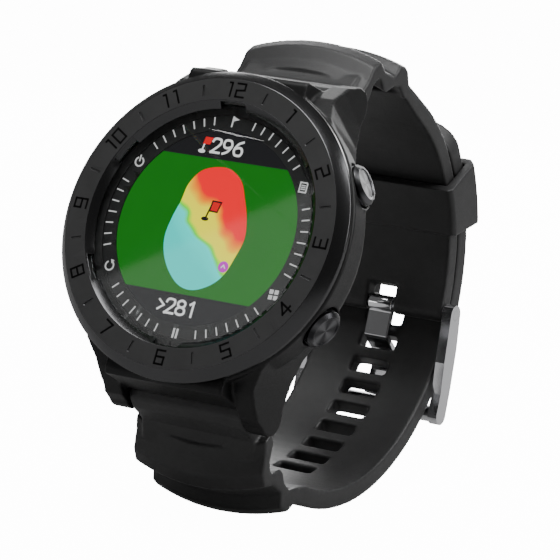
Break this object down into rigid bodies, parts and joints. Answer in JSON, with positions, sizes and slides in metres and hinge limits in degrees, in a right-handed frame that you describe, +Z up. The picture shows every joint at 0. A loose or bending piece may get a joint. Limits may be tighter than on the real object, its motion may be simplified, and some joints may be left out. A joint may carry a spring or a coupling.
{
  "type": "golf gps watch",
  "caption": "Round golf watch with numbered bezel, lit colour display, two side buttons and a ribbed strap closed by a buckle and keeper.",
  "frame": {"origin": "centre of the bounding box at the ground the watch stands on", "axes": "+Z up; +X to the watch's 3 o'clock side; +Y away from the dial, towards the back of the strap loop"},
  "size_m": [0.0474, 0.0744, 0.0706],
  "materials": {
    "case_plastic": "fine matte, fibre-filled",
    "bezel_metal": "matte dark grey band with polished dark chamfers",
    "glass": "polished",
    "rubber_seal": "matte",
    "dial_print": "black print with white marks",
    "display": "lit colour display",
    "inner_plastic": "moulded",
    "flex": "polyimide film",
    "board": "solder-masked board",
    "chip": "moulded",
    "steel": "plain",
    "polished_steel": "polished",
    "contact_gold": "gold plated",
    "battery_foil": "laminated pouch",
    "ceramic": "ceramic",
    "wire": "insulated",
    "button_metal": "spun faces, dark plated",
    "silicone": "matte, slightly silky"
  },
  "bodies": {
    "watch_case": {"case_body": "case_plastic", "bezel_ring": "bezel_metal", "cover_glass": "glass", "back_cover": "case_plastic", "glass_gasket": "rubber_seal", "dial_ring": "dial_print", "display_panel": "display", "display_frame": "inner_plastic", "display_flex": "flex", "main_board": "board", "board_chips": "chip", "board_screws": "steel", "battery": "battery_foil", "battery_leads": "wire", "gps_antenna": "ceramic", "vibration_motor": "steel", "back_gasket": "rubber_seal", "back_screws": "steel", "charging_contacts": "contact_gold", "switch_upper": "chip", "switch_lower": "chip", "button_spring_upper": "steel", "button_spring_lower": "steel", "spring_bar_top": "steel", "spring_bar_bottom": "steel", "spring_bar_top_springs": "steel", "spring_bar_bottom_springs": "steel"},
    "button_upper_body": {"button_upper": "button_metal", "button_seal_upper": "rubber_seal", "button_clip_upper": "steel"},
    "switch_plunger_upper_body": {"switch_plunger_upper": "inner_plastic"},
    "button_lower_body": {"button_lower": "button_metal", "button_seal_lower": "rubber_seal", "button_clip_lower": "steel"},
    "switch_plunger_lower_body": {"switch_plunger_lower": "inner_plastic"},
    "top_tip_left": {"spring_bar_top_tip_left": "steel"},
    "top_tip_right": {"spring_bar_top_tip_right": "steel"},
    "bottom_tip_left": {"spring_bar_bottom_tip_left": "steel"},
    "bottom_tip_right": {"spring_bar_bottom_tip_right": "steel"},
    "short_strap": {"strap_short": "silicone", "buckle_bar": "polished_steel"},
    "strap_keeper": {"keeper": "silicone"},
    "buckle": {"buckle_frame": "polished_steel"},
    "tongue": {"buckle_tongue": "polished_steel"},
    "long_strap": {"strap_long": "silicone"}
  },
  "joints": [
    {"name": "button_upper_press", "type": "slide", "parent": "watch_case", "child": "button_upper_body", "axis": [-0.887, -0.164, -0.4317], "range_m": [0, 0.0005], "stiffness_N_per_m": 800, "springref_m": -0.001, "deforming": ["button_spring_upper"]},
    {"name": "switch_plunger_upper_press", "type": "slide", "parent": "watch_case", "child": "switch_plunger_upper_body", "axis": [-0.887, -0.164, -0.4317], "range_m": [0, 0.0005]},
    {"name": "button_lower_press", "type": "slide", "parent": "watch_case", "child": "button_lower_body", "axis": [-0.887, 0.164, 0.4317], "range_m": [0, 0.0005], "stiffness_N_per_m": 800, "springref_m": -0.001, "deforming": ["button_spring_lower"]},
    {"name": "switch_plunger_lower_press", "type": "slide", "parent": "watch_case", "child": "switch_plunger_lower_body", "axis": [-0.887, 0.164, 0.4317], "range_m": [0, 0.0005]},
    {"name": "spring_bar_top_tip_left_retract", "type": "slide", "parent": "watch_case", "child": "top_tip_left", "axis": [1, 0, 0], "range_m": [0, 0.0009], "stiffness_N_per_m": 500, "springref_m": -0.001, "deforming": ["spring_bar_top_springs"]},
    {"name": "spring_bar_top_tip_right_retract", "type": "slide", "parent": "watch_case", "child": "top_tip_right", "axis": [-1, 0, 0], "range_m": [0, 0.0009], "stiffness_N_per_m": 500, "springref_m": -0.001, "deforming": ["spring_bar_top_springs"]},
    {"name": "spring_bar_bottom_tip_left_retract", "type": "slide", "parent": "watch_case", "child": "bottom_tip_left", "axis": [1, 0, 0], "range_m": [0, 0.0009], "stiffness_N_per_m": 500, "springref_m": -0.001, "deforming": ["spring_bar_bottom_springs"]},
    {"name": "spring_bar_bottom_tip_right_retract", "type": "slide", "parent": "watch_case", "child": "bottom_tip_right", "axis": [-1, 0, 0], "range_m": [0, 0.0009], "stiffness_N_per_m": 500, "springref_m": -0.001, "deforming": ["spring_bar_bottom_springs"]},
    {"name": "short_strap_hinge", "type": "hinge", "parent": "watch_case", "child": "short_strap", "pos_m": [0, -0.00901, 0.06234], "axis": [1, 0, 0], "range_deg": [0, 70]},
    {"name": "keeper_slide", "type": "hinge", "parent": "short_strap", "child": "strap_keeper", "pos_m": [0, 0.0028, 0.03485], "axis": [1, 0, 0], "range_deg": [-20, 16]},
    {"name": "buckle_hinge", "type": "hinge", "parent": "short_strap", "child": "buckle", "pos_m": [0, 0.03062, 0.0274], "axis": [1, 0, 0], "range_deg": [0, 75]},
    {"name": "tongue_hinge", "type": "hinge", "parent": "buckle", "child": "tongue", "pos_m": [0, 0.03062, 0.0274], "axis": [1, 0, 0], "range_deg": [0, 50]},
    {"name": "long_strap_hinge", "type": "hinge", "parent": "watch_case", "child": "long_strap", "pos_m": [0, -0.02599, 0.01765], "axis": [-1, 0, 0], "range_deg": [0, 70], "deforming": ["strap_long"]}
  ],
  "couplings": [
    {"joint": "switch_plunger_upper_press", "follows": "button_upper_press", "ratio": 1},
    {"joint": "switch_plunger_lower_press", "follows": "button_lower_press", "ratio": 1}
  ]
}
